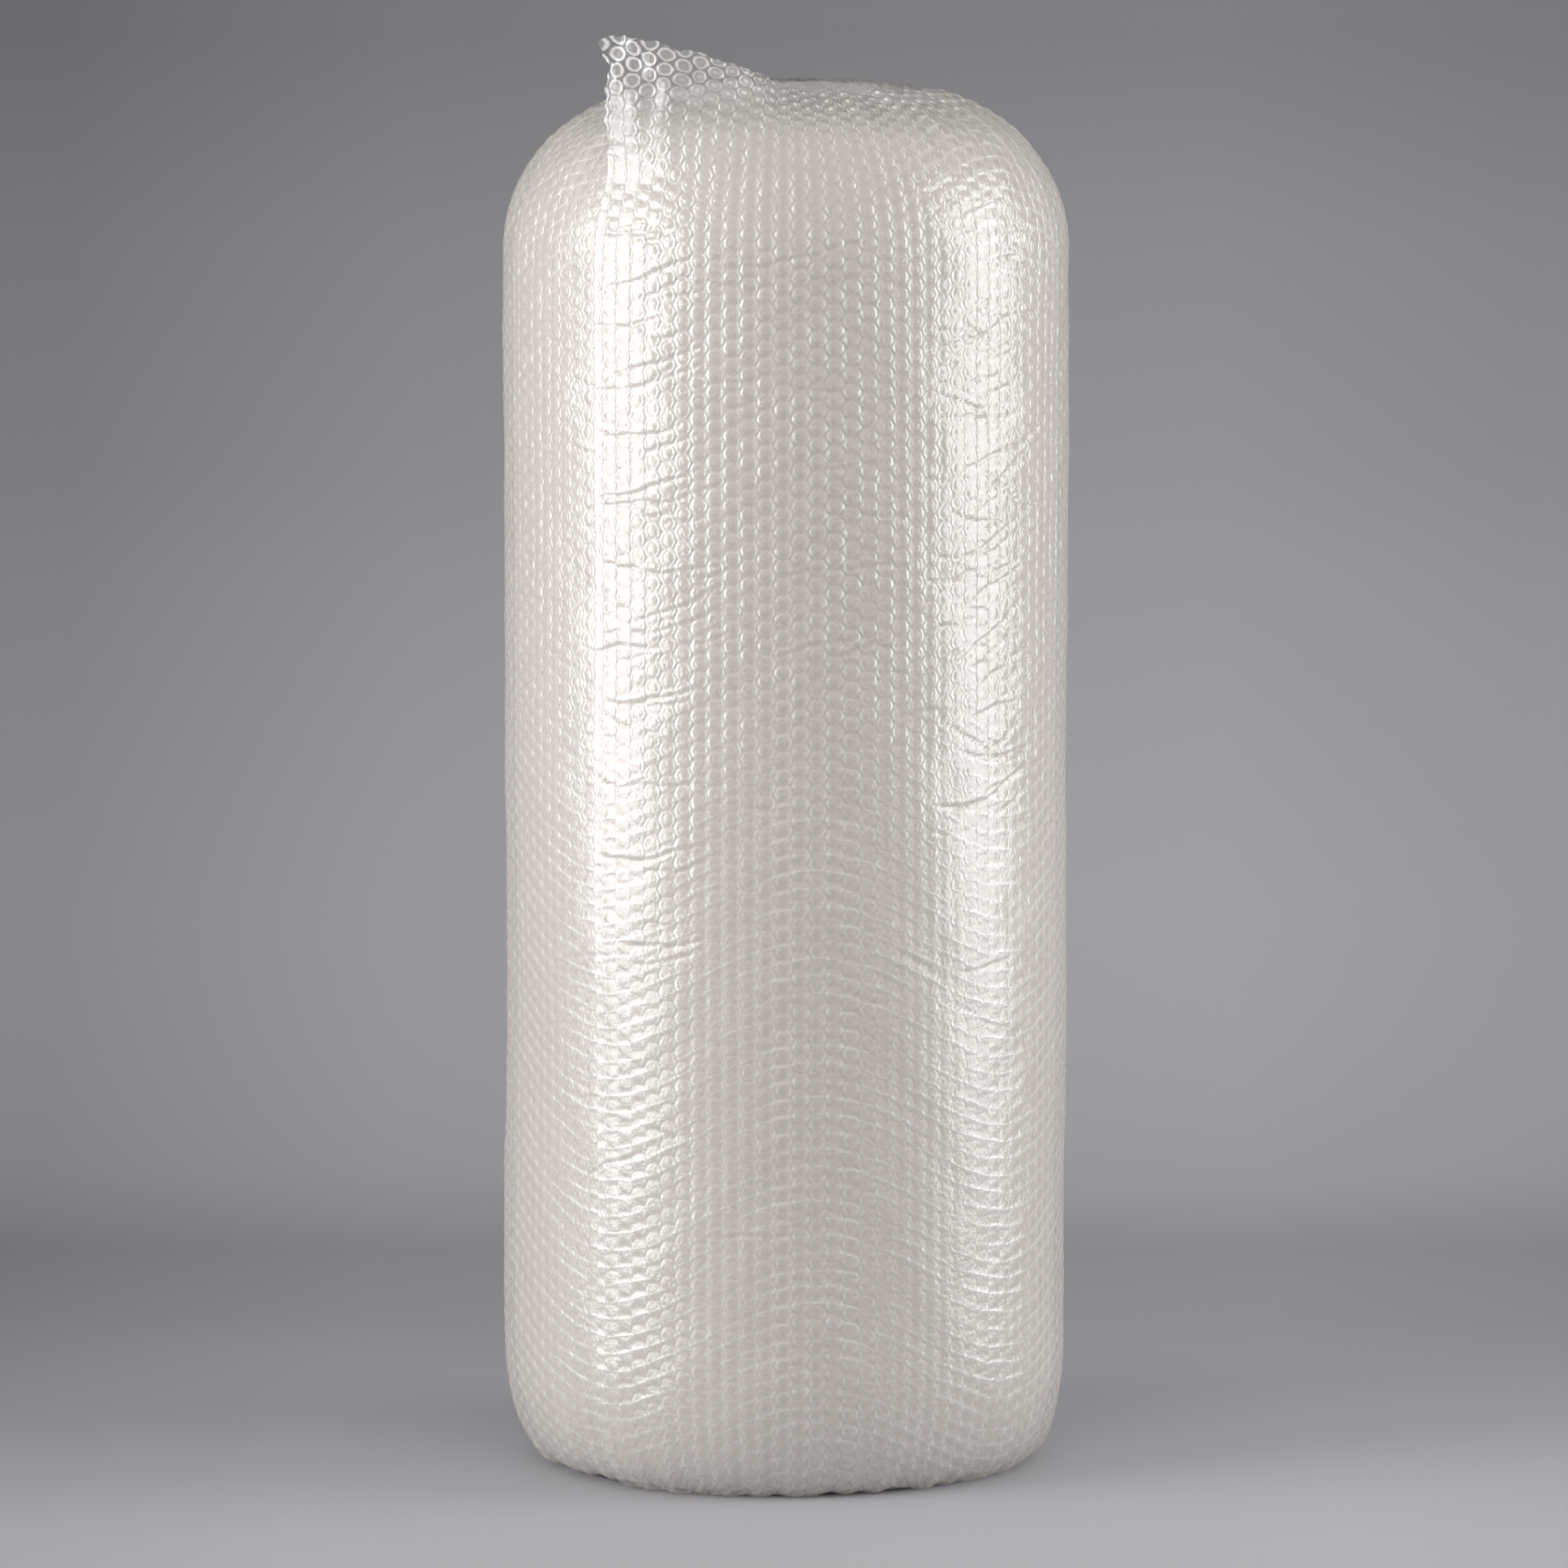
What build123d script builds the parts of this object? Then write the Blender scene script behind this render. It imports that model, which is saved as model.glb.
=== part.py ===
from build123d import *
import os
from math import cos, pi, radians, sin

# Sizes in millimetres. The roll stands on its end on the plane Z = 0, with its axis on Z.
# Azimuths are in degrees, counter-clockwise from +X seen from above. The front faces -Y.

roll_radius = 183.0          # outside of the outermost turn
standing_height = 890.0      # floor to the crest of the upper end
web_thickness = 4.0          # film with its bubbles, the step at the loose outer end

eye_radius = 38.0            # open winding eye, left by the shaft that the web was wound on
eye_lip_radius = 12.0        # rounding where the innermost turn rolls into the eye

crown_height = 110.0         # the upper margins curl in over this much of the height
crown_wall_pull = 70.0       # how far the wall's direction carries into the crown
crown_mouth_pull = 75.0      # how far the flat of the crest carries out from the eye

foot_height = 85.0           # the lower margins curl in over this much of the height
foot_radius = 150.0          # outer edge of the flat that the roll stands on
foot_wall_pull = 55.0
foot_floor_pull = 18.0

loose_end_azimuth = 230.0    # the web's cut outer end runs down the wall here
corner_span = 38.0           # the loose corner is back in line with the crown after this angle
corner_rise = 33.0           # its tip stands this far above the crest
corner_tip_lean = 7.0        # the tip stands this far inside the wall's face
corner_crease = 55.0         # it leaves the wall's line this far below the crest
corner_root = 26.0           # depth of its root under the crease, where it is one sheet with the roll
corner_fall = 13.0           # its far end lies this far below the crest


def unit(azimuth):
    """Horizontal direction at an azimuth."""
    return Vector(cos(radians(azimuth)), sin(radians(azimuth)), 0)


def half_outline(radius):
    """Section of the roll on one side of its axis: floor, foot, wall, crown and crest."""
    crest_start = eye_radius + eye_lip_radius
    wall_foot = (radius, foot_height)
    wall_crown = (radius, standing_height - crown_height)
    floor_edge = (foot_radius - roll_radius + radius, 0)
    foot = Bezier(
        floor_edge,
        (floor_edge[0] + foot_floor_pull, 0),
        (radius, foot_height - foot_wall_pull),
        wall_foot,
    )
    wall = Line(wall_foot, wall_crown)
    crown = Bezier(
        wall_crown,
        (radius, standing_height - crown_height + crown_wall_pull),
        (crest_start + crown_mouth_pull, standing_height),
        (crest_start, standing_height),
    )
    crest = Line(crown @ 1, (0, standing_height))
    axis_side = Line(crest @ 1, (0, 0))
    floor = Line(axis_side @ 1, floor_edge)
    return make_face(Plane.XZ * (Curve() + [foot, wall, crown, crest, axis_side, floor]))


def half_roll(radius, start_azimuth, centre):
    """Half a turn of the wound web, as half a solid of revolution about its own centre."""
    half = revolve(half_outline(radius), Axis.Z, 180)
    return Pos(centre) * Rot(0, 0, start_azimuth) * half


def wound_body():
    """The turns as a two-centre spiral, which steps in by one web at the loose end."""
    inward_shift = web_thickness / 2
    first = half_roll(roll_radius, loose_end_azimuth, Vector(0, 0, 0))
    second = half_roll(
        roll_radius - inward_shift,
        loose_end_azimuth + 180,
        unit(loose_end_azimuth) * -inward_shift,
    )
    return first + second


def winding_eye():
    """Cutter for the eye, with the innermost turn rolled over at both mouths."""
    lip = eye_lip_radius
    mouth = eye_radius + lip
    edges = [
        Line((0, -lip), (mouth, -lip)),
        Line((mouth, -lip), (mouth, 0)),
        RadiusArc((mouth, 0), (eye_radius, lip), lip),
        Line((eye_radius, lip), (eye_radius, standing_height - lip)),
        RadiusArc((eye_radius, standing_height - lip), (mouth, standing_height), lip),
        Line((mouth, standing_height), (mouth, standing_height + lip)),
        Line((mouth, standing_height + lip), (0, standing_height + lip)),
        Line((0, standing_height + lip), (0, -lip)),
    ]
    return revolve(make_face(Plane.XZ * (Curve() + edges)), Axis.Z, 360)


def corner_section(share):
    """Section of the lifted corner, from its free edge at share 0 to its curled end at share 1."""
    radius = roll_radius - corner_tip_lean
    tip = Vector(radius, 0, standing_height + corner_rise)
    curled = Vector(eye_radius + eye_lip_radius + crown_mouth_pull, 0, standing_height - corner_fall)
    crease = Vector(radius, 0, standing_height - corner_crease)
    root = crease - Vector(web_thickness, 0, corner_root)
    ease = share ** 1.5
    top = tip * (1 - ease) + curled * ease
    sheet = (top - crease).normalized()
    across = Vector(-sheet.Z, 0, sheet.X) * web_thickness
    azimuth = loose_end_azimuth + corner_span * share
    places = [root, crease, top, top + across, crease + across, root - Vector(web_thickness, 0, 0)]
    return Rot(0, 0, azimuth) * make_face(Plane.XZ * Polyline([(p.X, p.Z) for p in places], close=True))


def loose_corner():
    """The web's upper outer corner, which stands up from the crown instead of curling in."""
    shares = (0.0, 0.25, 0.5, 0.75, 1.0)
    return loft([corner_section(share) for share in shares])


roll = wound_body() + loose_corner() - winding_eye()
pieces = roll.solids()
wound_area = pi * (roll_radius ** 2 - eye_radius ** 2)
print("solids", len(pieces), "volume", round(roll.volume), "valid", roll.is_valid)
print("web length", round(wound_area / web_thickness / 1000, 1), "m with one web thickness a turn")

os.makedirs("parts", exist_ok=True)
export_step(pieces[0], "parts/bubble_wrap_roll.step")
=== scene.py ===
import bpy
import numpy as np
from math import pi, radians
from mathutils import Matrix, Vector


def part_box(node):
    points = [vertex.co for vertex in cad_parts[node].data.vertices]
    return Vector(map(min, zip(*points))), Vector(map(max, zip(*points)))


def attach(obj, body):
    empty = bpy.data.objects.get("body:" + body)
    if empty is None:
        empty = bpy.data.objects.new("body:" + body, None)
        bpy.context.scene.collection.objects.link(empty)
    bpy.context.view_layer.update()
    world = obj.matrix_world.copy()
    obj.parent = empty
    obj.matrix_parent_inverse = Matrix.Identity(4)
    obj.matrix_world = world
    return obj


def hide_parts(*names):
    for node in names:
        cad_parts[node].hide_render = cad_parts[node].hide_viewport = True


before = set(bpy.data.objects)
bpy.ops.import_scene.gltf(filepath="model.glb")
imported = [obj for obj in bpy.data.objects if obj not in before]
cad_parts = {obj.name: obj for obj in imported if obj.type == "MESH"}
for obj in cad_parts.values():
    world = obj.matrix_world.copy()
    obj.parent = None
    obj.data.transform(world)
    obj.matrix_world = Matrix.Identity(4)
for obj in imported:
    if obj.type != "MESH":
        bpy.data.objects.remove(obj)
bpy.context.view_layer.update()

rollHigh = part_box("bubble_wrap_roll")[1]

# The web of bubble film, in metres. Azimuths run counter-clockwise from +X, and the front faces -Y.
web = {
    "cornerRise": 0.033,
    "cornerSpan": radians(43),
    "cornerTaper": 1.35,        # power by which the corner's lift dies out over its span
    "cornerLean": 0.007,
    "cornerLeanRun": 0.05,
    "cornerCrease": 0.055,
    "cornerBend": (-0.02, 0.03),
    "crownHeight": 0.110,
    "crownWallPull": 0.070,
    "crownMouthPull": 0.075,
    "crestRadius": 0.050,
    "footHeight": 0.085,
    "footRadius": 0.150,
    "footWallPull": 0.055,
    "footFloorPull": 0.018,
    "floorGap": 0.0004,
    "cut": radians(230),        # azimuth of the loose outer end
    "thickness": 0.004,         # one turn of film, which the spiral closes in by
    "marginOver": 0.147,        # film curled in over the crown
    "marginUnder": 0.018,       # film tucked under the standing end
    "columns": 108,             # bubble columns round one turn
    "pitch": 0.0109,            # bubble pitch along a column
    "overlap": radians(0.8),    # the outer turn goes on this far under its own loose end
    "sectionStep": 0.0005,
}
web["radius"] = rollHigh[0]
web["crest"] = rollHigh[2] - web["cornerRise"]
web["columnStep"] = 2 * pi * web["radius"] / web["columns"]


def bezier(points, t):
    # cubic: the four points weighted by the Bernstein terms of t
    a, b, c, d = [np.array(p)[:, None] for p in points]
    k = 1 - t
    return k ** 3 * a + 3 * k * k * t * b + 3 * k * t * t * c + t ** 3 * d


def crownCurve(t):
    # from the wall, up and in to the crest
    radius, crest, height = web["radius"], web["crest"], web["crownHeight"]
    return bezier([(radius, crest - height), (radius, crest - height + web["crownWallPull"]),
                   (web["crestRadius"] + web["crownMouthPull"], crest), (web["crestRadius"], crest)], t)


def footCurve(t):
    # from the floor, out and up to the wall
    radius, height = web["radius"], web["footHeight"]
    return bezier([(web["footRadius"], 0), (web["footRadius"] + web["footFloorPull"], 0),
                   (radius, height - web["footWallPull"]), (radius, height)], t)


def runLength(line):
    # distance along a line of points, as a running sum of its steps
    return np.concatenate([[0], np.cumsum(np.hypot(*np.diff(line, axis=1)))])


def webLine():
    # the web's section from its tucked lower edge to its curled upper edge, evenly along its run
    foot, crown = footCurve(np.linspace(0, 1, 200)), crownCurve(np.linspace(0, 1, 400))
    crown = crown[:, runLength(crown) <= web["marginOver"]]
    under = np.array([[web["footRadius"] - web["marginUnder"]], [0]])
    line = np.hstack([under, foot, crown])
    run = runLength(line)
    even = np.arange(0, run[-1], web["sectionStep"])
    line = np.array([np.interp(even, run, line[0]), np.interp(even, run, line[1])])
    slope = np.gradient(line, axis=1)
    slope /= np.hypot(*slope)
    # the normal is the slope turned a quarter, as a running mean of 9 steps
    soft = np.ones(9) / 9
    normal = np.array([np.convolve(np.pad(part, 4, "edge"), soft, "valid") for part in (slope[1], -slope[0])])
    return even, line, normal / np.hypot(*normal)


lineRun, lineAt, lineNormal = webLine()
web["width"] = lineRun[-1]
lowerHalf = len(lineRun) // 2
wallStart = np.interp(web["footHeight"], lineAt[1][:lowerHalf], lineRun[:lowerHalf])
crownStart = wallStart + web["crest"] - web["crownHeight"] - web["footHeight"]
creaseRun = crownStart + web["crownHeight"] - web["cornerCrease"]


def smooth(low, high, value):
    # 0 below low, 1 above high, a cubic ease between
    t = np.clip((value - low) / (high - low), 0, 1)
    return t * t * (3 - 2 * t)


def bubbleDistance(round_, run):
    # distance to the nearest bubble's middle, on two rectangular lattices half a cell apart
    step, pitch = 2 * web["columnStep"], web["pitch"]
    near = []
    for shift in (0, 0.5):
        across = (np.mod(round_ / step + shift, 1) - 0.5) * step
        along = (np.mod(run / pitch + shift, 1) - 0.5) * pitch
        near.append(np.hypot(across, along))
    return np.minimum(near[0], near[1])


def waveSum(waves, azimuth, run):
    # sum of sines; a wave is its count round the turn, its angle per metre of run, its phase and its weight
    return sum(weight * np.sin(count * azimuth + along * run + phase) for count, along, phase, weight in waves)


# the whole web's gentle in and out
sway = {"depth": 0.00045, "waves": [
    (2, 10.2, 0.4, 1.0), (3, 15.4, 2.1, 1.0), (5, 6.6, 4.0, 1.0), (1, 20.8, 1.3, 1.0),
    (13, 46.0, 1.0, 0.40), (19, -74.0, 2.0, 0.34), (27, 102.0, 0.5, 0.26), (23, -132.0, 3.3, 0.22),
]}

# pleats where a margin is drawn in to a smaller radius, growing to the edge
pleats = {"over": 0.0008, "under": 0.0006, "overStart": 0.035, "underStart": -0.03, "underFull": 0.01,
          "waves": [(37, 0, 0.3, 1.0), (53, 0, 1.9, 1.0), (23, 0, 4.4, 1.0)]}

# the limp corner's folds, and how far the cut edges are uneven
crumple = {"depth": 0.0022, "start": 0.89, "edge": 0.0052, "cutEdge": 0.0008, "edgeFade": 0.012,
           "edgeWaves": [(0.0061, 0), (0.0037, 1), (0.0016, 2)],
           "waves": [(34, 120, 0, 1.0), (61, -95, 1, 0.7), (0, 190, 0, 0.5), (142, 330, 0, 0.3)]}


def slowSway(azimuth, run):
    return sway["depth"] * waveSum(sway["waves"], azimuth, run)


def gathers(azimuth, run):
    over = smooth(crownStart + pleats["overStart"], web["width"], run)
    under = smooth(wallStart + pleats["underStart"], pleats["underFull"], run)
    return waveSum(pleats["waves"], azimuth, run) * (pleats["over"] * over + pleats["under"] * under)


def cornerCrumple(azimuth, run):
    fold = waveSum(crumple["waves"], azimuth, run)
    return crumple["depth"] * fold * smooth(crumple["start"], web["width"], run)


def cornerShare(azimuth):
    # the corner's lift along its upper edge: 1 at the cut, 0 past its span
    return 1 - np.clip((azimuth - web["cut"]) / web["cornerSpan"], 0, 1) ** web["cornerTaper"]


def cornerLift(azimuth, run):
    # how far the sheet has left the crown, 0 to 1
    return cornerShare(azimuth) * smooth(0, web["cornerBend"][1], run - creaseRun)


def ragged(position, size):
    # uneven cut: a sum of sines along the edge, from 0 to size
    waves = crumple["edgeWaves"]
    wave = sum(np.sin(position / length + phase) for length, phase in waves)
    return size * (0.5 + wave / (2 * len(waves)))


def webSurface(azimuth, run, inset):
    # section carried round the axis, drawn in by the spiral and by inset along its own normal;
    # near the cut the upper margin swings from the crown to a straight sheet, which is the lifted corner
    radius, height = np.interp(run, lineRun, lineAt[0]), np.interp(run, lineRun, lineAt[1])
    outward, upward = np.interp(run, lineRun, lineNormal[0]), np.interp(run, lineRun, lineNormal[1])
    beyond = np.clip(run - creaseRun, 0, None)
    stretch = (web["cornerCrease"] + web["cornerRise"]) / (web["width"] - creaseRun)
    straightRadius = web["radius"] - web["cornerLean"] * smooth(0, web["cornerLeanRun"], run - crownStart)
    straightHeight = web["crest"] - web["cornerCrease"] + beyond * stretch
    swing = cornerShare(azimuth) * smooth(*web["cornerBend"], run - creaseRun)
    radius = radius + (straightRadius - radius) * swing
    height = height + (straightHeight - height) * swing * (run > creaseRun)
    outward = outward + (1 - outward) * swing
    upward = upward * (1 - swing)
    inward = inset + web["thickness"] * (azimuth - web["cut"]) / (2 * pi)
    inward = inward - slowSway(azimuth, run) * (1 - swing) - gathers(azimuth, run)
    inward = inward + swing * cornerCrumple(azimuth, run)
    radius, height = radius - inward * outward, height - inward * upward
    height = np.maximum(height, web["floorGap"])
    return np.stack([radius * np.cos(azimuth), radius * np.sin(azimuth), height], -1)


def gridFaces(rows, columns):
    # quads of a grid whose points run along the rows first
    start = np.arange(rows - 1)[:, None] * columns + np.arange(columns - 1)[None, :]
    return np.stack([start, start + columns, start + columns + 1, start + 1], -1).reshape(-1, 4)


def gridNormals(points):
    # cross product of the grid's two slopes, of length one
    normal = np.cross(np.gradient(points, axis=0), np.gradient(points, axis=1))
    return normal / np.maximum(np.linalg.norm(normal, axis=-1, keepdims=True), 1e-12)


def makePiece(name, points, faces, material, uv, normals=None, lift=None, opaque=False):
    # arrays of points and faces into a mesh that rides on the roll; only an opaque piece casts a shadow
    mesh = bpy.data.meshes.new(name)
    corners = faces.shape[1]
    mesh.vertices.add(len(points))
    mesh.vertices.foreach_set("co", points.astype(np.float32).ravel())
    mesh.loops.add(faces.size)
    mesh.loops.foreach_set("vertex_index", faces.astype(np.int32).ravel())
    mesh.polygons.add(len(faces))
    mesh.polygons.foreach_set("loop_start", np.arange(0, faces.size, corners, dtype=np.int32))
    mesh.polygons.foreach_set("use_smooth", np.ones(len(faces), dtype=bool))
    layer = mesh.uv_layers.new(name="webMap")
    layer.uv.foreach_set("vector", uv[faces.ravel()].astype(np.float32).ravel())
    if lift is not None:
        lifted = mesh.attributes.new("lift", "FLOAT", "POINT")
        lifted.data.foreach_set("value", lift.astype(np.float32).ravel())
    mesh.update(calc_edges=True)
    mesh.validate()
    if normals is not None:
        mesh.normals_split_custom_set_from_vertices(normals.reshape(-1, 3).tolist())
    mesh.materials.append(material)
    piece = bpy.data.objects.new(name, mesh)
    bpy.context.scene.collection.objects.link(piece)
    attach(piece, "root")
    piece.visible_shadow = opaque
    print("piece", name, "triangles", len(faces) * (corners - 2))


def newMaterial(name):
    material = bpy.data.materials.new(name)
    material.use_nodes = True
    return material, material.node_tree, material.node_tree.nodes["Principled BSDF"]


def calc(tree, operation, *values, clamp=False):
    # one Math node; a value is a number or another node's output
    node = tree.nodes.new("ShaderNodeMath")
    node.operation, node.use_clamp = operation, clamp
    for socket, value in zip(node.inputs, values):
        if isinstance(value, (int, float)):
            socket.default_value = value
        else:
            tree.links.new(value, socket)
    return node.outputs[0]


def fadeOut(tree, distance, reach):
    # 1 at no distance, falling evenly to 0 at reach
    return calc(tree, "SUBTRACT", 1.0, calc(tree, "DIVIDE", distance, reach), clamp=True)


def between(tree, factor, low, high):
    # low where factor is 0, high where it is 1
    return calc(tree, "MULTIPLY_ADD", factor, high - low, low)


def vectorCalc(tree, operation, first, second=None, output=0):
    node = tree.nodes.new("ShaderNodeVectorMath")
    node.operation = operation
    for socket, value in zip(node.inputs, (first, second)):
        if isinstance(value, tuple):
            socket.default_value = value
        elif value is not None:
            tree.links.new(value, socket)
    return node.outputs[output]


def separate(tree, vector):
    axes = tree.nodes.new("ShaderNodeSeparateXYZ")
    tree.links.new(vector, axes.inputs[0])
    return list(axes.outputs)


def mapPlace(tree):
    # place on the web's own map, in metres: round the roll, then along the web's run
    place = tree.nodes.new("ShaderNodeUVMap")
    place.uv_map = "webMap"
    return place.outputs[0]


def objectPlace(tree):
    return tree.nodes.new("ShaderNodeTexCoord").outputs["Object"]


def noiseTexture(tree, place, scale):
    noise = tree.nodes.new("ShaderNodeTexNoise")
    noise.inputs["Scale"].default_value = scale
    noise.inputs["Detail"].default_value = 2
    tree.links.new(place, noise.inputs["Vector"])
    return noise.outputs[0]


def ramp(tree, value, stops):
    # colour ramp between (place, grey or colour) stops
    node = tree.nodes.new("ShaderNodeValToRGB")
    tree.links.new(value, node.inputs[0])
    stopList = node.color_ramp.elements
    while len(stopList) < len(stops):
        stopList.new(0.5)
    for stop, (place, shade) in zip(stopList, stops):
        stop.position = place
        stop.color = (shade, shade, shade, 1) if isinstance(shade, (int, float)) else (*shade, 1)
    return node.outputs[0]


def blend(tree, factor, first, second):
    # colour mix: first where factor is 0, second where it is 1
    node = tree.nodes.new("ShaderNodeMix")
    node.data_type = "RGBA"
    for socket, value in zip((node.inputs[0], node.inputs[6], node.inputs[7]), (factor, first, second)):
        if isinstance(value, tuple):
            socket.default_value = (*value, 1)
        else:
            tree.links.new(value, socket)
    return node.outputs[2]


def addBump(tree, shader, height, distance):
    bump = tree.nodes.new("ShaderNodeBump")
    bump.inputs["Distance"].default_value = distance
    tree.links.new(height, bump.inputs["Height"])
    tree.links.new(bump.outputs[0], shader.inputs["Normal"])


crestFade = {"start": 0.855, "full": 0.889}


def crestPaintedShade(tree, shade):
    # painted shade: grey that darkens towards the crest, partly for the less film that lies behind there and
    # partly standing in for the shadow in the roll's hollow end
    height = separate(tree, objectPlace(tree))[2]
    return ramp(tree, height, [(crestFade["start"], 1.0), (crestFade["full"], shade)])


def bubbleField(tree, shift=(0, 0)):
    # distance in metres from the nearest bubble's middle, and the share of it that lies round the roll,
    # on the two lattices half a cell apart
    moved = vectorCalc(tree, "ADD", mapPlace(tree), (*shift, 0))
    cell = (2 * web["columnStep"], web["pitch"], 1)
    near, beside = [], []
    for part in (0, 0.5):
        unit = vectorCalc(tree, "DIVIDE", moved, cell)
        unit = vectorCalc(tree, "ADD", unit, (part, part, 0))
        unit = vectorCalc(tree, "FRACTION", unit)
        unit = vectorCalc(tree, "SUBTRACT", unit, (0.5, 0.5, 0))
        unit = vectorCalc(tree, "MULTIPLY", unit, (cell[0], cell[1], 0))
        near.append(vectorCalc(tree, "LENGTH", unit, output=1))
        beside.append(calc(tree, "ABSOLUTE", separate(tree, unit)[0]))
    distance = calc(tree, "MINIMUM", near[0], near[1])
    first = calc(tree, "LESS_THAN", near[0], near[1])
    change = calc(tree, "SUBTRACT", beside[0], beside[1])
    sidewise = calc(tree, "MULTIPLY_ADD", first, change, beside[1])
    return distance, calc(tree, "DIVIDE", sidewise, distance)


# Stops are places and shades: along the web in metres of run, in height in metres, or over a noise.
clearFilm = {
    "bubble": (0.640, 0.611, 0.578), "land": (0.650, 0.621, 0.588), "weld": (0.672, 0.646, 0.614),
    # the crest's darkening factor on this line is painted shade
    "white": (0.98, 0.97, 0.95), "ior": 2.5, "alpha": 0.48, "crestPaintedShade": 0.46,
    # a bubble's rings in metres: its weld, the weld's bead and ridge, and the cell that the shares are of
    "weldRadius": 0.0047, "beadWidth": 0.0016, "weldWidth": 0.0015, "cell": 0.008, "weldSoft": 0.12,
    # lifted film: a ring's offset from the weld as a share of the cell, its colour and its alpha; white welds
    # partly painted glint, the dark gap painted shade
    "rings": [(-0.24, (0.50, 0.50, 0.50), 0.30), (-0.10, (0.98, 0.97, 0.95), 0.88),
              (0, (0.98, 0.97, 0.95), 0.88), (0.09, (0.20, 0.20, 0.21), 0.46)],
    "clearStops": [(0.868, 0.0), (0.902, 1.0)], "liftedDull": 0.18,
    # the upper part has full gloss, relief and glints, the lower part less
    "upperStops": [(0.40, 0.0), (0.62, 1.0)],
    "roughness": 0.11, "lowRoughness": 0.25, "lowRelief": 0.25, "lowGlint": 0.45,
    # noises in waves a metre, how far the fine one shifts the rings, and relief in millimetres
    "fineScale": 330, "coarseScale": 90, "uneven": 0.0020,
    "dome": 0.42, "weldHeight": 0.62, "grain": 0.50, "swag": 0.34, "reliefStops": [(0.36, 0.35), (0.64, 1.0)],
    # the swags' whitening is partly the folds' denser film and partly painted glint
    "swags": 4, "swagDrop": 0.024, "swagTurn": radians(6), "swagSharp": 2.2, "swagCentre": 0.65,
    "swagOffWeld": 0.65, "swagPaintedGlint": 0.75, "swagAlpha": 0.40, "swagScale": 34, "swagUneven": 0.008,
    "swagPatches": [(0.38, 0.35), (0.58, 1.0)], "archStops": [(0.60, 0.0), (0.76, 1.0)],
    "swagStops": [(0.02, 0.3), (0.10, 1.0), (0.45, 1.0), (0.62, 0.12), (0.76, 0.12), (0.82, 1.0), (0.90, 1.0),
                  (0.95, 0.1)],
    # glints and caps are painted highlights: white dashes at the welds' sides where the lamps would catch them,
    # white dots near the upper edge
    "glintWidth": 0.0013, "glintSide": 3.0, "glintWhite": 0.95, "glintAlpha": 0.50,
    "glintPatches": [(0.36, 0.15), (0.60, 1.0)],
    "capRadius": 0.0034, "capPaintedGlint": 1.3, "capStops": [(0.90, 0.0), (0.935, 1.0)],
}


def swagHeight(tree, values):
    # sharp ridges one bubble pitch apart, hung in swags round the lower half and arched over the crown:
    # a folded sine sharpened by a power, patchy, and weaker at the front's middle
    place = mapPlace(tree)
    across, along = separate(tree, place)[:2]
    turn = calc(tree, "MULTIPLY_ADD", across, values["swags"] / web["radius"],
                values["swags"] * (web["cut"] + pi / 2 - values["swagTurn"]))
    swing = calc(tree, "COSINE", turn)
    upper = ramp(tree, along, values["archStops"])
    lean = calc(tree, "MULTIPLY", swing, values["swagDrop"])
    lean = calc(tree, "MULTIPLY", lean, between(tree, upper, 1.0, -1.0))
    patch = noiseTexture(tree, place, values["swagScale"])
    lean = calc(tree, "MULTIPLY_ADD", patch, values["swagUneven"], lean)
    wave = calc(tree, "MULTIPLY", calc(tree, "SUBTRACT", along, lean), pi / web["pitch"])
    wave = calc(tree, "SUBTRACT", 1.0, calc(tree, "ABSOLUTE", calc(tree, "SINE", wave)))
    wave = calc(tree, "POWER", wave, values["swagSharp"])
    middle = between(tree, upper, values["swagCentre"], 0.0)
    beside = calc(tree, "MAXIMUM", between(tree, swing, 0.5, 0.0), middle)
    patchy = calc(tree, "MULTIPLY", ramp(tree, patch, values["swagPatches"]), beside)
    wave = calc(tree, "MULTIPLY", wave, patchy)
    return calc(tree, "MULTIPLY", wave, ramp(tree, along, values["swagStops"]))


def filmField(tree, values):
    # what the film's colour, alpha and relief all read, by name
    place = objectPlace(tree)
    field = {"fine": noiseTexture(tree, place, values["fineScale"]),
             "coarse": noiseTexture(tree, place, values["coarseScale"])}
    distance, field["sidewise"] = bubbleField(tree)
    jitter = between(tree, field["fine"], -values["uneven"] / 2, values["uneven"] / 2)
    field["distance"] = calc(tree, "ADD", distance, jitter)
    field["share"] = calc(tree, "DIVIDE", field["distance"], values["cell"])
    field["weldOff"] = calc(tree, "ABSOLUTE", calc(tree, "SUBTRACT", field["distance"], values["weldRadius"]))
    nearWeld = fadeOut(tree, field["weldOff"], values["beadWidth"])
    field["swags"] = calc(tree, "MULTIPLY", swagHeight(tree, values),
                          between(tree, nearWeld, values["swagOffWeld"], 1.0))
    field["along"] = separate(tree, mapPlace(tree))[1]
    field["upper"] = ramp(tree, field["along"], values["upperStops"])
    lifted = tree.nodes.new("ShaderNodeAttribute")
    lifted.attribute_name = "lift"
    field["lifted"] = lifted.outputs["Fac"]
    clear = ramp(tree, separate(tree, place)[2], values["clearStops"])
    field["clear"] = calc(tree, "MULTIPLY", clear, field["lifted"])
    return field


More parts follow.
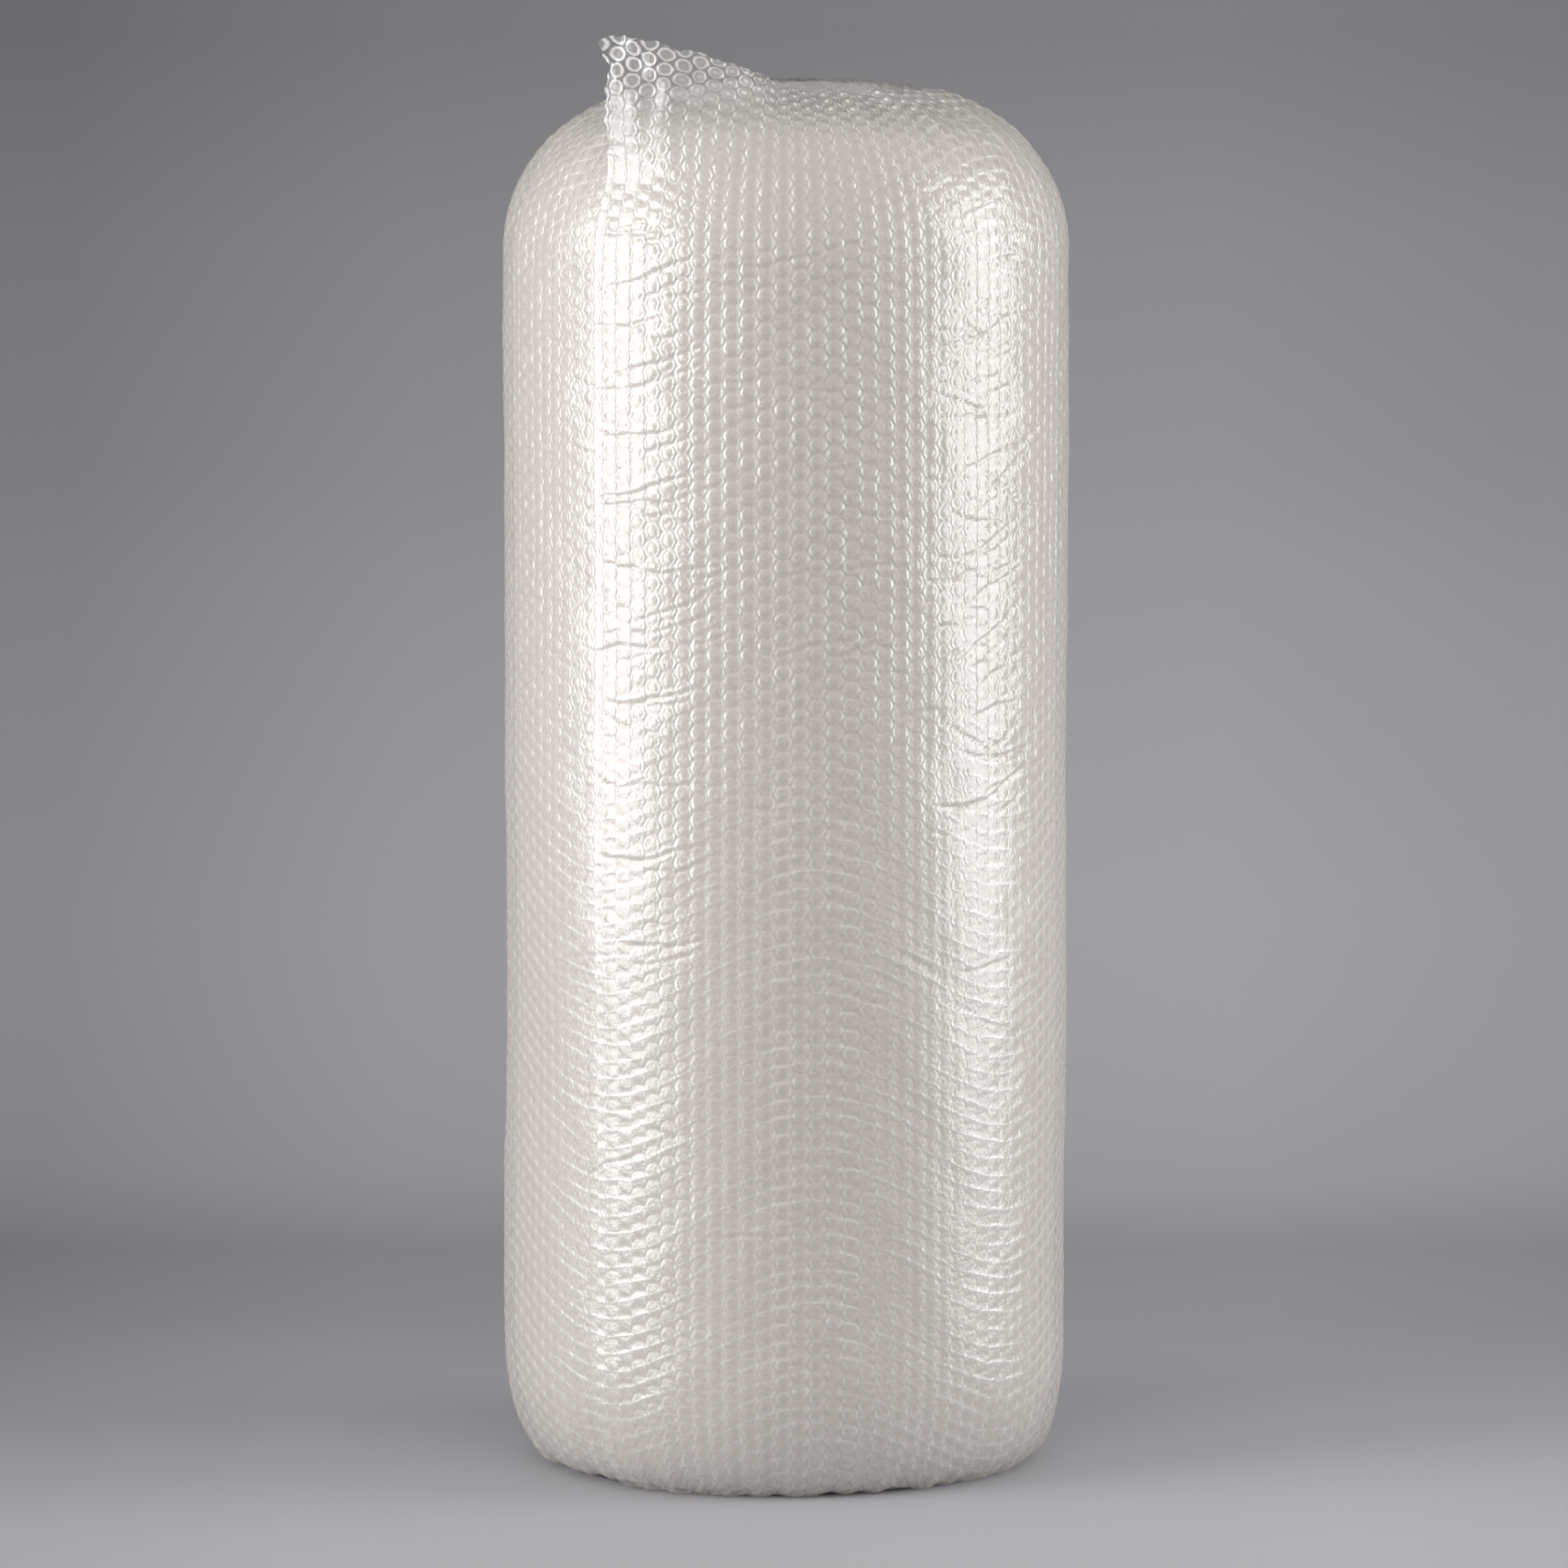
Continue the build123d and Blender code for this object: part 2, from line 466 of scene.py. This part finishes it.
def filmPaintedGlint(tree, values, field):
    # painted glints: patchy bright dashes at a weld's two sides, where the side lamps would catch it, and
    # painted bright bubble caps near the upper edge
    glint = fadeOut(tree, field["weldOff"], values["glintWidth"])
    glint = calc(tree, "MULTIPLY", glint, calc(tree, "POWER", field["sidewise"], values["glintSide"]))
    glint = calc(tree, "MULTIPLY", glint, ramp(tree, field["coarse"], values["glintPatches"]))
    glint = calc(tree, "MULTIPLY", glint, between(tree, field["upper"], values["lowGlint"], 1.0))
    capGlint = fadeOut(tree, field["distance"], values["capRadius"])
    capGlint = calc(tree, "MULTIPLY", capGlint, ramp(tree, field["along"], values["capStops"]))
    capGlint = calc(tree, "MULTIPLY", capGlint, calc(tree, "SUBTRACT", 1.0, field["clear"]))
    return calc(tree, "MAXIMUM", glint, calc(tree, "MULTIPLY", capGlint, values["capPaintedGlint"]))


def ringRamp(tree, values, field, column):
    # lifted film's rings of colour (column 1), with painted glint on the welds and painted shade in the gaps, or
    # alpha (column 2)
    edge = values["weldRadius"] / values["cell"]
    return ramp(tree, field["share"], [(edge + ring[0], ring[column]) for ring in values["rings"]])


def filmColour(tree, values, field, glint):
    # bubbles, welds and land on the roll, whitened by the swags (partly denser folded film, partly painted
    # glint) and darkened at the crest by painted shade; clear gaps off it, with painted glint on the welds and
    # painted shade in the gaps; painted glints over all
    edge, soft = values["weldRadius"] / values["cell"], values["weldSoft"]
    onRoll = ramp(tree, field["share"], [(edge - soft, values["bubble"]), (edge, values["weld"]),
                                         (edge + soft, values["land"])])
    # painted glint along the swags
    onRoll = blend(tree, calc(tree, "MULTIPLY", field["swags"], values["swagPaintedGlint"]), onRoll, values["white"])
    # off the roll, the rings' painted glint and painted shade
    colour = blend(tree, field["clear"], onRoll, ringRamp(tree, values, field, 1))
    shade = blend(tree, field["clear"], crestPaintedShade(tree, values["crestPaintedShade"]), (1.0, 1.0, 1.0))
    colour = vectorCalc(tree, "MULTIPLY", colour, shade)
    # painted glints and caps whiten the colour
    return blend(tree, calc(tree, "MULTIPLY", glint, values["glintWhite"]), colour, values["white"])


def filmAlpha(tree, values, field, glint):
    # swags and glints are denser than bare film; off the roll each ring has its own alpha
    onRoll = calc(tree, "MULTIPLY_ADD", field["swags"], values["swagAlpha"], values["alpha"])
    onRoll = calc(tree, "MULTIPLY_ADD", glint, values["glintAlpha"], onRoll)
    change = calc(tree, "SUBTRACT", ringRamp(tree, values, field, 2), onRoll)
    return calc(tree, "MULTIPLY_ADD", field["clear"], change, onRoll, clamp=True)


def filmHeight(tree, values, field):
    # in millimetres: bubbles domed as 1 less the square, welds a cosine ridge at their sides, grain and swags
    nearness = calc(tree, "DIVIDE", field["distance"], values["weldRadius"])
    dome = calc(tree, "SUBTRACT", 1.0, calc(tree, "POWER", nearness, 2.0), clamp=True)
    across = calc(tree, "MINIMUM", calc(tree, "DIVIDE", field["weldOff"], values["weldWidth"]), 1.0)
    ridge = calc(tree, "COSINE", calc(tree, "MULTIPLY", across, pi))
    ridge = between(tree, ridge, values["weldHeight"] / 2, values["weldHeight"])
    ridge = calc(tree, "MULTIPLY", ridge, calc(tree, "POWER", field["sidewise"], 2.0))
    height = calc(tree, "MULTIPLY_ADD", dome, values["dome"], ridge)
    height = calc(tree, "MULTIPLY", height, ramp(tree, field["coarse"], values["reliefStops"]))
    height = calc(tree, "MULTIPLY", height, between(tree, field["upper"], values["lowRelief"], 1.0))
    height = calc(tree, "MULTIPLY_ADD", field["fine"], values["grain"], height)
    return calc(tree, "MULTIPLY_ADD", field["swags"], values["swag"], height)


def filmMaterial(name, values):
    # flat film with the formed film welded behind it, its colour carrying painted glints and painted shade;
    # lifted off the roll, only its bubbles stay white
    material, tree, shader = newMaterial(name)
    field = filmField(tree, values)
    glint = filmPaintedGlint(tree, values, field)
    tree.links.new(filmColour(tree, values, field, glint), shader.inputs["Base Color"])
    tree.links.new(filmAlpha(tree, values, field, glint), shader.inputs["Alpha"])
    addBump(tree, shader, filmHeight(tree, values, field), 0.001)
    dull = between(tree, field["upper"], values["lowRoughness"], values["roughness"])
    dull = calc(tree, "MULTIPLY_ADD", field["lifted"], values["liftedDull"], dull)
    tree.links.new(dull, shader.inputs["Roughness"])
    shader.inputs["IOR"].default_value = values["ior"]
    return material


bubbleWall = {"colour": (0.70, 0.67, 0.632, 1), "roughness": 0.12, "ior": 2.2, "alpha": 0.26,
              "grainScale": 420, "grain": 0.0006}


def wallMaterial(name, values):
    # thin formed wall of a bubble
    material, tree, shader = newMaterial(name)
    addBump(tree, shader, noiseTexture(tree, objectPlace(tree), values["grainScale"]), values["grain"])
    shader.inputs["Base Color"].default_value = values["colour"]
    shader.inputs["Roughness"].default_value = values["roughness"]
    shader.inputs["IOR"].default_value = values["ior"]
    shader.inputs["Alpha"].default_value = values["alpha"]
    return material


# the turns' crest darkening factor is painted shade
milkyTurns = {"bright": (0.690, 0.648, 0.611), "dark": (0.602, 0.564, 0.530), "roughness": 0.28, "ior": 1.9,
              "crestPaintedShade": 0.38, "shift": (0.0031, 0.0042), "bubbleRadius": 0.0065, "dome": 0.0012,
              "bubbleStops": (0.55, 0.75)}


def turnsMaterial(name, values):
    # the turns below, milky with depth, their bubbles half a cell off those of the outer turn
    material, tree, shader = newMaterial(name)
    distance, _ = bubbleField(tree, values["shift"])
    share = calc(tree, "DIVIDE", distance, values["bubbleRadius"], clamp=True)
    inside, outside = values["bubbleStops"]
    colour = ramp(tree, share, [(inside, values["dark"]), (outside, values["bright"])])
    # painted shade: darker towards the crest
    shade = crestPaintedShade(tree, values["crestPaintedShade"])
    tree.links.new(vectorCalc(tree, "MULTIPLY", colour, shade), shader.inputs["Base Color"])
    dome = calc(tree, "POWER", calc(tree, "SUBTRACT", 1.0, share), 0.5)
    addBump(tree, shader, dome, values["dome"])
    shader.inputs["Roughness"].default_value = values["roughness"]
    shader.inputs["IOR"].default_value = values["ior"]
    return material


filmOuter = filmMaterial("outer_film_clear", clearFilm)
filmWall = wallMaterial("bubble_wall_clear", bubbleWall)
filmTurns = turnsMaterial("inner_turns_milky", milkyTurns)
# the turns' edges get their own painted shade at the crest
filmEdges = filmMaterial("turn_edges_clear", dict(clearFilm, alpha=0.40, crestPaintedShade=0.45, lowRoughness=0.11))
print("materials made")

# Each crease is its azimuth from the front in degrees, height, length round the roll, slope and bend. Pairs are
# the low and high of an even draw, or the middle and spread of a normal one for slope, bend and azimuth.
creases = {
    "depth": 0.0012, "width": 0.0013, "lip": 0.45, "lipOff": 1.7, "fadeRun": 0.06, "seed": 11,
    "wobbles": [(0.0008, 0.0060, 40), (0.0003, 0.0026, 90)],
    "front": [
        (-31, 0.800, 0.070, 0.05, 0.25), (-28, 0.772, 0.085, 0.35, 0.10), (-33, 0.741, 0.060, 0.12, 0.20),
        (-27, 0.717, 0.080, 0.28, 0.10), (-30, 0.674, 0.066, 0.10, 0.35), (-28, 0.640, 0.080, 0.30, 0.15),
        (-31, 0.628, 0.064, 0.06, -0.20), (-25, 0.590, 0.090, 0.02, 0.30), (-22, 0.566, 0.070, 0.40, 0.20),
        (-33, 0.537, 0.066, 0.08, -0.25), (-27, 0.509, 0.075, 0.20, 0.30), (-30, 0.410, 0.085, 0.10, 0.40),
        (-26, 0.355, 0.075, 0.04, 0.35), (44, 0.602, 0.060, 0.45, 0.10), (42, 0.618, 0.055, -0.20, 0.20),
        (45, 0.545, 0.065, 0.60, 0.05), (41, 0.479, 0.060, -0.55, 0.10), (46, 0.446, 0.070, 0.35, 0.30),
        (40, 0.690, 0.050, -0.30, 0.20), (46, 0.655, 0.055, 0.20, -0.20), (44, 0.735, 0.050, 0.40, 0.10),
    ],
    "companion": {"aside": (2, 9), "below": (0.003, 0.010), "length": (0.4, 0.8), "slope": (0.1, 0.15),
                  "strength": 0.7},
    "spread": {"count": 150, "height": (0.15, 0.84), "length": (0.03, 0.09), "slope": (0.05, 0.3),
               "bend": (0.1, 0.3), "strength": (0.3, 0.9)},
    "crushed": {"count": 60, "azimuth": (45, 8), "height": (0.42, 0.83), "length": (0.018, 0.05),
                "slope": (0.15, 0.45), "bend": (0, 0.3), "strength": (0.4, 1.0)},
}


def drawnCrease(rng, azimuth, kind):
    return (azimuth, rng.uniform(*kind["height"]), rng.uniform(*kind["length"]), rng.normal(*kind["slope"]),
            rng.normal(*kind["bend"]), rng.uniform(*kind["strength"]))


def creaseList():
    # the front's named creases, each with a smaller companion, then drawn ones all round and where crushed
    rng = np.random.default_rng(creases["seed"])
    companion, spread, crushed = creases["companion"], creases["spread"], creases["crushed"]
    rows = []
    for azimuth, height, length, slope, bend in creases["front"]:
        rows.append((radians(azimuth - 90), height, length, slope, bend, 1.0))
        rows.append((radians(azimuth - 90 + rng.uniform(*companion["aside"])),
                     height - rng.uniform(*companion["below"]), length * rng.uniform(*companion["length"]),
                     slope + rng.normal(*companion["slope"]), bend, companion["strength"]))
    for _ in range(spread["count"]):
        rows.append(drawnCrease(rng, rng.uniform(0, 2 * pi), spread))
    for _ in range(crushed["count"]):
        rows.append(drawnCrease(rng, radians(rng.normal(*crushed["azimuth"]) - 90), crushed))
    return rows


def creaseRelief(azimuth, run):
    # each crease is a narrow trough with a lip across a bent, wobbling line, fading out at both ends
    relief = np.zeros(np.broadcast(azimuth, run).shape)
    for middle, height, length, slope, bend, strength in creaseList():
        away = (np.mod(azimuth - middle + pi, 2 * pi) - pi) * web["radius"]
        along = away / length * 2
        centre = height - web["footHeight"] + wallStart + slope * away
        centre = centre + bend * length * 0.25 * (along ** 2 - 0.5)
        for size, wave, shift in creases["wobbles"]:
            centre = centre + size * np.sin(away / wave + shift * height)
        fade = np.clip(1 - along ** 4, 0, 1)
        off = (run - centre) / creases["width"]
        trough = np.exp(-off ** 2) - creases["lip"] * np.exp(-(off - creases["lipOff"]) ** 2)
        relief -= strength * creases["depth"] * fade * trough
    return relief


pucker = {"height": 0.00036, "reach": 0.0054}


def filmRelief(azimuth, run):
    # pucker over each bubble, with the creases
    distance = bubbleDistance((azimuth - web["cut"]) * web["radius"], run)
    raised = pucker["height"] * np.clip(1 - (distance / pucker["reach"]) ** 2, 0, 1)
    fade = 1 - smooth(crownStart + creases["fadeRun"], web["width"], run)
    return raised + creaseRelief(azimuth, run) * fade


outerTurn = {"angle": 2 * pi + web["overlap"], "acrossColumn": 3, "rowStep": 0.0016, "pieces": 3}


def makeOuterFilm():
    # the flat film of the outer turn, as one fine grid whose two free edges are ragged, cut into pieces
    columns = int(round(outerTurn["angle"] / (2 * pi) * web["columns"] * outerTurn["acrossColumn"]))
    azimuth = web["cut"] + np.linspace(0, outerTurn["angle"], columns + 1)
    run = np.linspace(0, web["width"], int(web["width"] / outerTurn["rowStep"]))
    azimuth, run = np.meshgrid(azimuth, run, indexing="ij")
    fromCut = (azimuth - web["cut"]) * web["radius"]
    fade = crumple["edgeFade"]
    run = run - ragged(fromCut, crumple["edge"]) * smooth(web["width"] - fade, web["width"], run)
    cutEdge = crumple["cutEdge"] + crumple["edge"] * cornerLift(azimuth, run)
    azimuth = azimuth + ragged(run, cutEdge) * (1 - smooth(0, fade, fromCut)) / web["radius"]
    points = webSurface(azimuth, run, -filmRelief(azimuth, run))
    uv = np.stack([(azimuth - web["cut"]) * web["radius"], run], -1)
    normals = gridNormals(points)
    lift = cornerLift(azimuth, run)
    cuts = np.linspace(0, columns, outerTurn["pieces"] + 1).astype(int)
    for number, (first, last) in enumerate(zip(cuts[:-1], cuts[1:])):
        part = slice(first, last + 1)
        rows, length = points[part].shape[:2]
        makePiece(f"outer_film_{number + 1}", points[part].reshape(-1, 3), gridFaces(rows, length), filmOuter,
                  uv[part].reshape(-1, 2), normals[part], lift[part])


# rings are a bubble's radius and depth from its weld to its middle; swell is the range of their share of depth
bubble = {"sides": 10, "rings": [(0.00485, 0.0), (0.0043, 0.0022), (0, 0.0035)], "inset": 0.0002,
          "edge": 0.006, "seed": 5, "swell": (0.82, 1.04)}


def bubbleTemplate(sides, rings):
    # one formed bubble about the origin: x and y across it, z its depth, as rings of points and a last middle
    turn = np.linspace(0, 2 * pi, sides, endpoint=False)
    points = [np.stack([radius * np.cos(turn), radius * np.sin(turn), 0 * turn + depth], -1)
              for radius, depth in rings[:-1]]
    points = np.concatenate(points + [np.array([[0, 0, rings[-1][1]]])])
    faces = []
    for ring in range(len(rings) - 2):
        for side in range(sides):
            a, b = ring * sides + side, ring * sides + (side + 1) % sides
            faces += [(a, a + sides, b), (b, a + sides, b + sides)]
    last = (len(rings) - 2) * sides
    faces += [(last + side, len(points) - 1, last + (side + 1) % sides) for side in range(sides)]
    return points, np.array(faces)


def bubblePlaces(length, edge):
    # way round from the cut and run of each bubble's middle, on both lattices, clear of the film's edges
    step, pitch = 2 * web["columnStep"], web["pitch"]
    places = []
    for shift in (0, 0.5):
        across = (np.arange(int(length / step) + 2) + 0.5 - shift) * step
        along = (np.arange(int(web["width"] / pitch) + 2) + 0.5 - shift) * pitch
        across = across[(across > edge) & (across < length - edge)]
        along = along[(along > edge) & (along < web["width"] - edge)]
        places.append(np.stack(np.meshgrid(across, along, indexing="ij"), -1).reshape(-1, 2))
    return np.concatenate(places)


def makeBubbles():
    # each bubble of the outer turn stands inward from the film, squeezed where the margins draw in
    template, faces = bubbleTemplate(bubble["sides"], bubble["rings"])
    places = bubblePlaces(outerTurn["angle"] * web["radius"], bubble["edge"])
    swell = np.random.default_rng(bubble["seed"]).uniform(*bubble["swell"], len(places))
    across = places[:, :1] + template[None, :, 0]
    along = places[:, 1:] + template[None, :, 1]
    inset = bubble["inset"] + template[None, :, 2] * swell[:, None]
    points = webSurface(web["cut"] + across / web["radius"], along, inset)
    order = np.argsort(places[:, 0], kind="stable")
    for number, group in enumerate(np.array_split(order, outerTurn["pieces"])):
        starts = np.arange(len(group)) * len(template)
        allFaces = (faces[None] + starts[:, None, None]).reshape(-1, 3)
        uv = np.stack([across[group], along[group]], -1).reshape(-1, 2)
        makePiece(f"bubbles_{number + 1}", points[group].reshape(-1, 3), allFaces, filmWall, uv)


innerTurns = {"inset": 0.0046, "slack": 0.002, "floorGap": 0.001, "crestDrop": 0.006, "eyeRadius": 0.038,
              "lip": 0.012, "wallBetween": (0.10, 0.17), "columns": 216, "rows": 190}


def makeInnerTurns():
    # closed body of the turns below: wall, crown, lip, eye and underside, carried round the axis
    lip, eye, gap = innerTurns["lip"], innerTurns["eyeRadius"], innerTurns["floorGap"]
    top = web["crest"] - innerTurns["crestDrop"]
    foot, crown = footCurve(np.linspace(0, 1, 60)), crownCurve(np.linspace(0, 1, 90))
    outer = np.hstack([foot, crown])
    scale = (web["radius"] - innerTurns["inset"] - innerTurns["slack"]) / web["radius"]
    outer = np.array([outer[0] * scale, outer[1] * (top - gap) / web["crest"] + gap])
    quarter = np.linspace(0, pi / 2, 8)
    topLip = np.array([eye + lip - lip * np.sin(quarter), top - lip + lip * np.cos(quarter)])
    lowLip = np.array([eye + lip - lip * np.cos(quarter), gap + lip - lip * np.sin(quarter)])
    line = np.hstack([outer, topLip[:, 1:], lowLip, outer[:, :1]])
    run = runLength(line)
    even = np.linspace(0, run[-1], innerTurns["rows"])
    radius, height = np.interp(even, run, line[0]), np.interp(even, run, line[1])
    azimuth = np.linspace(0, 2 * pi, innerTurns["columns"] + 1)
    azimuth, radius = np.meshgrid(azimuth, radius, indexing="ij")
    height, webRun = np.broadcast_to(height, radius.shape), np.broadcast_to(even, radius.shape)
    wall = smooth(*innerTurns["wallBetween"], radius)
    spiral = web["thickness"] * np.mod(azimuth - web["cut"], 2 * pi) / (2 * pi)
    radius = radius + slowSway(azimuth, webRun) * wall - spiral * wall
    points = np.stack([radius * np.cos(azimuth), radius * np.sin(azimuth), height], -1)
    uv = np.stack([azimuth * web["radius"], webRun], -1)
    rows, length = points.shape[:2]
    makePiece("inner_turns", points.reshape(-1, 3), gridFaces(rows, length), filmTurns, uv.reshape(-1, 2),
              opaque=True)


endTurns = {"start": 0.102, "end": 0.041, "turnStep": 0.0040, "perTurn": 150, "across": 9, "depth": 0.020,
            "outset": 0.003, "sunk": 0.0015, "lean": 0.0050, "leanRuffle": 0.0011, "riseRuffle": 0.0010}


def makeEndTurns():
    # edges of the turns on the upper end: one ribbon wound inward, ruffled, its free edge leaning to the eye
    turns = (endTurns["start"] - endTurns["end"]) / endTurns["turnStep"]
    angle = np.linspace(0, turns * 2 * pi, int(turns * endTurns["perTurn"]))
    across = np.linspace(0, 1, endTurns["across"])
    angle, across = np.meshgrid(angle, across, indexing="ij")
    crown = crownCurve(np.linspace(0, 1, 300))
    middle = endTurns["start"] - endTurns["turnStep"] * angle / (2 * pi)
    # waves of three lengths round the ribbon, the first drifting in and out of step with the turns
    ruffle = np.sin(17 * angle + 2 * np.sin(0.7 * angle)) + 0.7 * np.sin(29.3 * angle + 1)
    ruffle = ruffle + 0.5 * np.sin(7.1 * angle)
    radius = middle + endTurns["outset"] - across ** 2 * (endTurns["lean"] + endTurns["leanRuffle"] * ruffle)
    top = np.interp(-middle, -crown[0], crown[1])
    height = top - endTurns["depth"] * (1 - across) - endTurns["sunk"] + endTurns["riseRuffle"] * ruffle * across
    azimuth = web["cut"] + angle
    points = np.stack([radius * np.cos(azimuth), radius * np.sin(azimuth), height], -1)
    uv = np.stack([angle * middle, across * endTurns["depth"]], -1)
    rows, length = points.shape[:2]
    makePiece("end_turns", points.reshape(-1, 3), gridFaces(rows, length), filmEdges, uv.reshape(-1, 2))


makeOuterFilm()
makeBubbles()
makeInnerTurns()
makeEndTurns()
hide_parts("bubble_wrap_roll")

# The paper's painted light and shade: stops over height in metres, and over depth and width at their own scale
# and shift, lighter and darker as the studio's light falls.
studio = {
    "floorFront": -7.0, "floorBack": 0.85, "curve": 0.55, "wallTop": 3.2, "half": 6.0,
    "tint": (2.70, 2.70, 2.86), "roughness": 0.9, "specular": 0.1, "air": (0.745, 0.722, 0.700, 1),
    "wallPaintedShades": [(0.0, 0.485), (0.03, 0.53), (0.20, 0.53), (0.47, 0.49), (0.74, 0.41), (0.90, 0.33)],
    "floorScale": 0.5, "floorShift": 0.35,
    "floorPaintedShades": [(0.20, 0.65), (0.32, 0.625), (0.45, 0.565), (0.62, 0.5)],
    "sideScale": 0.625, "sideShift": 0.5,
    "sidePaintedShades": [(0.14, 0.38), (0.31, 0.475), (0.56, 0.52), (0.72, 0.53), (0.87, 0.48)],
}


def paperMaterial(name, values):
    # painted light and shade over height, depth and width multiplied together, then tinted
    material, tree, shader = newMaterial(name)
    across, depth, height = separate(tree, objectPlace(tree))
    shade = ramp(tree, height, values["wallPaintedShades"])
    depth = calc(tree, "MULTIPLY_ADD", depth, values["floorScale"], values["floorShift"])
    shade = vectorCalc(tree, "MULTIPLY", shade, ramp(tree, depth, values["floorPaintedShades"]))
    across = calc(tree, "MULTIPLY_ADD", across, values["sideScale"], values["sideShift"])
    shade = vectorCalc(tree, "MULTIPLY", shade, ramp(tree, across, values["sidePaintedShades"]))
    tree.links.new(vectorCalc(tree, "MULTIPLY", shade, values["tint"]), shader.inputs["Base Color"])
    shader.inputs["Roughness"].default_value = values["roughness"]
    shader.inputs["Specular IOR Level"].default_value = values["specular"]
    return material


def makeBackdrop():
    # floor, a quarter bend and a wall, carried sideways
    bend = np.linspace(0, pi / 2, 24)
    depth = np.concatenate([[studio["floorFront"]], studio["floorBack"] + studio["curve"] * np.sin(bend),
                            [studio["floorBack"] + studio["curve"]]])
    height = np.concatenate([[0], studio["curve"] * (1 - np.cos(bend)), [studio["wallTop"]]])
    side = np.array([[studio["half"]], [-studio["half"]]])
    points = np.stack(np.broadcast_arrays(side, depth, height), -1)
    mesh = bpy.data.meshes.new("backdrop")
    mesh.from_pydata(points.reshape(-1, 3).tolist(), [], gridFaces(2, len(depth)).tolist())
    mesh.materials.append(paperMaterial("studio_paper", studio))
    mesh.polygons.foreach_set("use_smooth", np.ones(len(mesh.polygons), dtype=bool))
    backdrop = bpy.data.objects.new("backdrop", mesh)
    bpy.context.scene.collection.objects.link(backdrop)


# azimuth from the front in degrees (left is below 0), distance, middle height, width, height, radiance
lights = {
    "left_softbox": (-64.3, 1.50, 0.83, 0.92, 1.64, 3.60),
    "right_softbox": (83.5, 1.50, 0.83, 0.86, 1.64, 3.20),
}


def makeLights():
    for name, (azimuth, distance, middle, width, height, radiance) in lights.items():
        lamp = bpy.data.lights.new(name, "AREA")
        lamp.shape, lamp.size, lamp.size_y = "RECTANGLE", width, height
        lamp.energy = radiance * pi * width * height
        softbox = bpy.data.objects.new(name, lamp)
        turn = radians(azimuth)
        softbox.location = (distance * np.sin(turn), -distance * np.cos(turn), middle)
        softbox.rotation_euler = (pi / 2, 0, turn)
        bpy.context.scene.collection.objects.link(softbox)
    world = bpy.data.worlds.new("studio_air")
    world.use_nodes = True
    world.node_tree.nodes["Background"].inputs[0].default_value = studio["air"]
    bpy.context.scene.world = world


view = {"distance": 5.36, "height": 0.984, "pitch": 5.825, "lens": 192, "sensor": 36}


def makeCamera():
    camera = bpy.data.objects.new("camera", bpy.data.cameras.new("camera"))
    camera.data.lens = view["lens"]
    camera.data.sensor_width = view["sensor"]
    camera.location = (0, -view["distance"], view["height"])
    camera.rotation_euler = (radians(90 - view["pitch"]), 0, 0)
    bpy.context.scene.collection.objects.link(camera)
    bpy.context.scene.camera = camera


makeBackdrop()
makeLights()
makeCamera()
bpy.context.scene.view_settings.view_transform = "Standard"
print("studio made")
